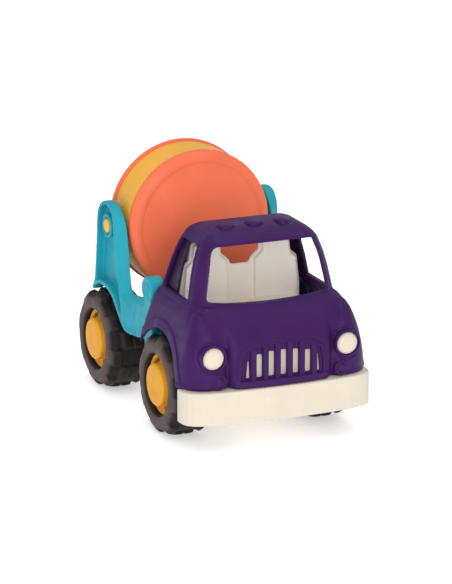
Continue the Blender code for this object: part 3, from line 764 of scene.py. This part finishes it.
def fork_slant(name, side):
    """What is cut from the outside of a fork panel: a slant from its outer face to its front edge."""
    # z, y of the fold, then x and y of where the slant ends, then x of the panel at its front
    rows = [(55, 88, 79.4, 74, 77), (70.4, 90.4, 79.4, 76, 77), (77, 98.2, 79.6, 82, 77)]
    rows += [(91, 102.6, 79, 86, 77), (101, 105.2, 77.5, 92, 77), (107, 106.8, 74, 96, 74)]
    rows += [(112, 108, 72, 99.4, 70), (125, 111.5, 72, 102.6, 70), (142, 115.9, 72, 105.4, 70)]
    rows += [(153, 118.8, 72, 107.2, 70), (166, 119.2, 72, 111, 70), (172, 120.5, 72, 115.6, 70)]
    rows += [(178, 125, 72, 122.4, 70), (190, 133, 72, 132.4, 70)]
    rings = []
    for z, fold, x, y, front in rows:
        plan = [(FORK_OUTER + 0.1, fold), (x, y), (front, 30), (95, 30), (95, fold)]
        rings.append([at(side * a, b, z) for a, b in plan])
    return loft(name, rings)


def fork_reliefs(x, y, z, normals):
    """The lip along the rear arch and the two ribs under each ear."""
    outward = step(np.abs(normals[:, 0]), 0.6, 0.85) * step(np.abs(x), 74, 75)
    lip = 1 - step(distance(y, z, FORK_LOWER, closed=False), 3.0, 4.2)
    ribs = (band(y, 66.5, 71.5, 0.9) + band(y, 79, 84.5, 0.9)) * (1 - step(z, 97, 103))
    return outward * np.maximum(0.9 * lip * step(y, 60, 80), 0.7 * ribs)


def make_rear_body():
    recess = [(103.5, 81.6), (112, 90), (121.5, 98), (134, 102.8), (147, 104.2), (158, 103), (166.5, 99.6)]
    recess += [(167.8, 105), (165.4, 123), (163.0, 142), (161.6, 160), (159.4, 168), (154, 174.8)]
    recess += [(146, 179.0), (138, 179.8), (130.6, 178), (125.0, 173.2), (122.2, 165), (121.2, 153)]
    recess += [(118.2, 142), (113.8, 125), (109.4, 108), (105.0, 91.3)]
    panels = []
    for side in (-1, 1):
        low, high = sorted((side * FORK_INNER, side * FORK_OUTER))
        panel = prism(f"form_panel{side}", fork_outline(), "x", low, high)
        panels.append(work(panel, [fork_slant(f"cut_slant{side}", side)]))
    fork = fuse("fork", panels, 1.0, 5)
    emboss(fork, fork_reliefs)
    cuts = []
    for side in (-1, 1):
        low, high = sorted((side * (FORK_INNER + 2.2), side * 100))
        cuts.append(prism(f"cut_recess{side}", rounded(recess, 2.0, 3), "x", low, high))
        low, high = sorted((side * 60, side * 100))
        cuts.append(rod(f"cut_eye{side}", "x", DRUM, 9.4, low, high))
    work(fork, cuts)
    parts = [box("form_bulkhead", (-75.6, 75.6), (55, 63), (61.5, 103))]
    parts.append(box("form_deck", (-TRAY_HALF, TRAY_HALF), (41, 203), (57.8, 61.8)))
    parts.append(box("form_stop", (-40, 40), (166, 171), (60, 77.5)))
    for side in (-1, 1):
        eye = [(FORK_INNER, 6.8), (FORK_INNER, 10.6), (82.4, 11.4), (83.2, 10.6)]
        eye += [(83.2, 8.9), (81.2, 8.5), (81.2, 6.8)]
        eye = rounded([(side * a, r) for a, r in eye], 0.6, 3)
        parts.append(turned(f"form_eye{side}", eye, "x", DRUM, 64))
        ear = [(63.4, 0), (63.4, 10.9), (64.6, 12.1), (76.7, 12.1)]
        ear += [(77.9, 10.9), (77.9, 9.7), (76.5, 9.1), (76.5, 0)]
        ear = rounded([(side * a, r) for a, r in ear], 0.8, 3, False)
        parts.append(turned(f"form_ear{side}", ear, "x", EAR, 64))
        parts.append(box(f"form_neck{side}", sorted((side * 64.0, side * 77.0)), (43.0, 60.0), (102, 112)))
        parts.append(ear_hook(side))
        parts.append(rod(f"form_foot{side}", "z", screw_place(REAR_SCREW, side), 4.0, 35.7, 60))
    work(fork, parts, "UNION")
    pilots = []
    for side in (-1, 1):
        pilots.append(rod(f"cut_foot{side}", "z", screw_place(REAR_SCREW, side), 1.7, 30, 48, 16))
    work(fork, pilots)
    soften(fork, 0.85, 2, 0.45)
    give(thin_out(fork), TEAL, "truck", ["rear_body"])


def ear_hook(side):
    """The raised hook on the end of an ear."""
    line = [(50.0, 111.2), (54.2, 113.8), (56.2, 118.0), (54.8, 122.2)]
    line += [(51.4, 123.4), (49.2, 121.4), (49.6, 118.8)]
    width = 1.7
    left, right = [], []
    for i, point in enumerate(line):
        before, after = Vector(line[max(i - 1, 0)]), Vector(line[min(i + 1, len(line) - 1)])
        across = (after - before).normalized().orthogonal() * width
        left.append(tuple(Vector(point) + across))
        right.append(tuple(Vector(point) - across))
    low, high = sorted((side * 75.4, side * 77.7))
    return prism(f"form_hook{side}", rounded(left + right[::-1], 1.0, 3), "x", low, high)


# ---------------------------------------------------------------- drum


def make_drum():
    steps = 160
    front = [(-36.0, 0), (-36.0, 2.5), (-35.95, 7), (-35.7, 14), (-34.8, 30), (-33.2, 44)]
    front += [(-31.7, 54), (-31.1, 58.4), (-31.5, 60.8)]
    front += [(-31.0, 64.0), (-29.4, 67.2), (-27.0, 69.4), (-24.6, 70.0), (-20.6, 70.0), (-20.6, 65.8)]
    front += [(2.0, 65.8), (2.0, 63.0), (-23.0, 63.0), (-27.6, 57), (-29.8, 44), (-32.0, 24), (-33.0, 0)]
    shell = turned("drum_front", rounded(front, 2.0, 4, False), "y", DRUM, steps)
    give(shell, ORANGE, "drum", ["drum_front_shell"], 50)
    rear = [(17.6, 65.8), (17.6, 71.2), (21.6, 71.2), (25.6, 69.4), (31.0, 65.6), (46.0, 57.0), (62.0, 47.0)]
    rear += [(71.6, 39.8), (73.6, 39.2), (76.5, 40.2), (78.6, 38.6), (78.0, 35.0), (73.0, 34.6)]
    rear += [(61.0, 43.6), (45.0, 53.8), (29.0, 62.0), (22.0, 63.0), (2.3, 63.0), (2.3, 65.8)]
    shell = turned("drum_rear", rounded(rear, 1.6, 4), "y", DRUM, steps)
    give(shell, ORANGE, "drum", ["drum_rear_shell"], 50)
    band_profile = [(-20.3, 66.4), (-20.3, 69.2), (17.3, 69.2), (17.3, 66.4)]
    ring = turned("drum_band", rounded(band_profile, [0.2, 0.9, 0.9, 0.2], 4), "y", DRUM, steps)
    cuts = []
    for side in (-1, 1):
        cuts.append(rod(f"cut_socket{side}", "x", (side * 70, DRUM[1], DRUM[2]), 8.6, -10, 10))
    work(ring, cuts)
    sockets = []
    for side in (-1, 1):
        socket = [(67.0, 6.8), (67.0, 9.6), (67.6, 10.2), (72.2, 10.2), (72.2, 6.8)]
        socket = [(side * a, r) for a, r in socket]
        sockets.append(turned(f"form_socket{side}", rounded(socket, 0.4, 3), "x", DRUM, 64))
    work(ring, sockets, "UNION")
    give(ring, YELLOW, "drum_cradle", ["drum_ring"], 50)
    for side, word in SIDES:
        profile = [(0, 0), (0, 6.5), (16.1, 6.5), (16.9, 5.2), (17.1, 2.4), (17.1, 0)]
        profile = rounded([(side * a, r) for a, r in profile], 0.8, 4, False)
        pin = turned(f"pin_{word}", profile, "x", (side * 66.8, DRUM[1], DRUM[2]), 64)
        give(pin, YELLOW, "drum_cradle", [f"drum_pin_{word}"], 50)


# ---------------------------------------------------------------- wheels


TYRE_WIDTH = 42.0
CROWN_R = 47.5
SECTORS = 16  # of the tread: every second one has shoulder lugs, the others have centre lugs
SECTOR_STEPS = 14
SEAMS = (11.5, 21.5, 32.0)  # grooves round the tread, from the tyre's outer face
LUG_HEIGHT = 3.0
GROOVE_DEPTH = 3.4


def tyre_profile():
    """The tyre's section as (from the outer face, radius): its outer wall, its tread and its inner wall."""
    low = [(2.2, 28.3), (0.9, 29.2), (0.1, 31.2), (-0.1, 34.0), (0.0, 37.4), (0.6, 40.2), (1.6, 42.2)]
    tread = []
    for k in range(29):
        a = 2.6 + k * (39.4 - 2.6) / 28
        t = (a - TYRE_WIDTH / 2) / (TYRE_WIDTH / 2)
        radius = CROWN_R - 2.2 * t * t - 4.6 * max(0.0, abs(t) - 0.72) ** 1.3 / 0.2
        tread.append((a, radius))
    high = [(40.6, 42.0), (41.5, 39.6), (42.0, 36.0), (42.0, 33.0), (41.6, 30.0), (40.2, 28.3)]
    return low, tread, high


def make_tyre(name, side, track, y, body, nodes):
    """A tyre with lugs on both shoulders and, between them, pairs of lugs at the centre."""
    low, tread, high = tyre_profile()
    outer_seam, centre_seam, inner_seam = SEAMS
    steps = SECTORS * SECTOR_STEPS
    bm = bmesh.new()
    rows = []
    for k in range(steps):
        angle = math.tau * (k + 0.5) / steps
        turn = (k + 0.5) / SECTOR_STEPS
        sector = int(turn) % SECTORS
        inside = min(turn - int(turn), 1 - turn + int(turn))
        groove = 1 - min(1.0, inside / 0.07)
        lug = (1 - groove if sector % 2 == 0 else 0.0) - 1.0
        row = [(a, r + lug * 2.2 * min(1.0, max(0.0, (r - 38.5) / 3.5))) for a, r in low]
        for a, r in tread:
            shoulder = a < outer_seam or a > inner_seam
            raised = (sector % 2 == 0) == shoulder
            seam = min(abs(a - outer_seam), abs(a - inner_seam))
            if not shoulder:
                seam = min(seam, abs(a - centre_seam))
            cut = max(groove, 1 - min(1.0, seam / 1.4))
            height = (0.0 if raised else -LUG_HEIGHT) * (1 - cut) - GROOVE_DEPTH * cut
            fade = min(1.0, max(0.0, (a - 1.0) / 3.0), max(0.0, (41.0 - a) / 3.0))
            row.append((a, r + height * (0.35 + 0.65 * fade)))
        row += [(a, r) for a, r in high]
        rise, run = math.sin(angle), math.cos(angle)
        spoke = [at(side * (track - a), y + r * run, AXLE_Z + r * rise) for a, r in row]
        rows.append([bm.verts.new(point) for point in spoke])
    for row, after in zip(rows, rows[1:] + rows[:1]):
        for i, vert in enumerate(row):
            j = (i + 1) % len(row)
            bm.faces.new((vert, row[j], after[j], after[i]))
    tyre = mesh_object(name, bm)
    even = tyre.modifiers.new("even", "SMOOTH")
    even.factor = 0.4
    even.iterations = 1
    realise(tyre)
    give(tyre, RUBBER, body, nodes)


def make_hub(name, side, track, y, body, nodes):
    """A wheel centre: a proud disc, a web with four windows, and the rim under the tyre."""
    profile = [(-0.7, 0), (-0.7, 7.6), (-1.2, 8.8), (-1.2, 14.6), (-0.9, 15.4), (-1.2, 16.2), (-1.0, 18.2)]
    profile += [(0.6, 19.8), (7.0, 19.8), (7.0, 25.4), (5.6, 28.0), (36.5, 28.0), (36.5, 25.6), (10.0, 25.6)]
    profile += [(10.0, 17.2), (2.4, 17.2), (2.4, 6.0), (32.0, 6.0), (32.0, 2.8), (4.0, 2.8), (4.0, 0)]
    profile = rounded(profile, 0.7, 3, False)
    hub = turned(name, [(-side * a, r) for a, r in profile], "x", (side * track, y, AXLE_Z), 96)
    windows = []
    low, high = sorted((side * (track - 5.0), side * (track - 14.0)))
    for quarter in range(4):
        middle = 45 + 90 * quarter
        outline = arc((y, AXLE_Z), 24.9, middle - 31, middle + 31, 12)
        outline += arc((y, AXLE_Z), 20.6, middle + 31, middle - 31, 12)
        windows.append(prism(f"cut_{name}{quarter}", outline, "x", low, high))
    work(hub, windows)
    give(hub, HUB_YELLOW, body, nodes, 40)


def make_wheels():
    for word, y, track in (("front", 0.0, FRONT_TRACK), ("rear", REAR_Y, REAR_TRACK)):
        body = f"{word}_wheels"
        for side, hand in SIDES:
            make_tyre(f"rubber_{word}_{hand}", side, track, y, body, [f"tyre_{word}_{hand}"])
            make_hub(f"wheel_{word}_{hand}", side, track, y, body, [f"hub_{word}_{hand}"])
        keep(f"axle_{word}", STEEL)
        for hand in ("left", "right"):
            keep(f"screw_{word}_{hand}", STEEL)


# ---------------------------------------------------------------- studio


FLOOR_REACH = 9.0
LIT_POINT = (0, 0, 0.1)
CAMERA_PLACE = (-1.3267, -3.1525, 1.0727)
CAMERA_DIRECTION = (0.3750, 0.8864, -0.2714)
CAMERA_LENS = 236.6
# name, place, size, power, in metres and watts
LIGHTS = (
    ("key", (-1.3, -1.5, 1.9), 1.3, 13.0),
    ("top", (0.3, 0.1, 2.4), 1.6, 10.0),
    ("front", (-0.7, -2.6, 0.75), 1.4, 21.0),
)


def make_studio():
    bm = bmesh.new()
    reach = FLOOR_REACH
    corners = [(-reach, -reach), (reach, -reach), (reach, reach), (-reach, reach)]
    bm.faces.new([bm.verts.new((x, y, 0.0)) for x, y in corners])
    floor = mesh_object("floor", bm)
    floor.data.materials.append(floor_paint("floor_paint"))
    world = bpy.data.worlds.new("sky")
    bpy.context.scene.world = world
    world.use_nodes = True
    tree = world.node_tree
    split = node(tree, "ShaderNodeSeparateXYZ")
    tree.links.new(node(tree, "ShaderNodeTexCoord").outputs["Generated"], split.inputs[0])
    height = mapped(tree, split.outputs["Z"], 0.0, 0.9, 0, 1)
    background = tree.nodes["Background"]
    tree.links.new(blended(tree, height, (0.80, 0.81, 0.83), (1.0, 1.0, 1.0)), background.inputs["Color"])
    background.inputs["Strength"].default_value = 0.68
    for name, place, size, power in LIGHTS:
        light = bpy.data.lights.new(name, "AREA")
        light.size = size
        light.energy = power
        lamp = bpy.data.objects.new(name, light)
        lamp.location = place
        lamp.rotation_euler = (Vector(LIT_POINT) - Vector(place)).to_track_quat("-Z", "Y").to_euler()
        bpy.context.scene.collection.objects.link(lamp)
    camera = bpy.data.cameras.new("camera")
    camera.lens = CAMERA_LENS
    camera.sensor_width = 36
    eye = bpy.data.objects.new("camera", camera)
    eye.location = CAMERA_PLACE
    eye.rotation_euler = Vector(CAMERA_DIRECTION).to_track_quat("-Z", "Y").to_euler()
    bpy.context.scene.collection.objects.link(eye)
    bpy.context.scene.camera = eye
    bpy.context.scene.view_settings.view_transform = "Standard"


make_cab()
make_seats()
make_lamps()
make_chassis()
make_rear_body()
make_drum()
make_wheels()
# the back wall takes the darker purple: painted shade for the inside of the cab
keep("cab_back_wall", SHADE_PURPLE)
make_insert()
make_studio()
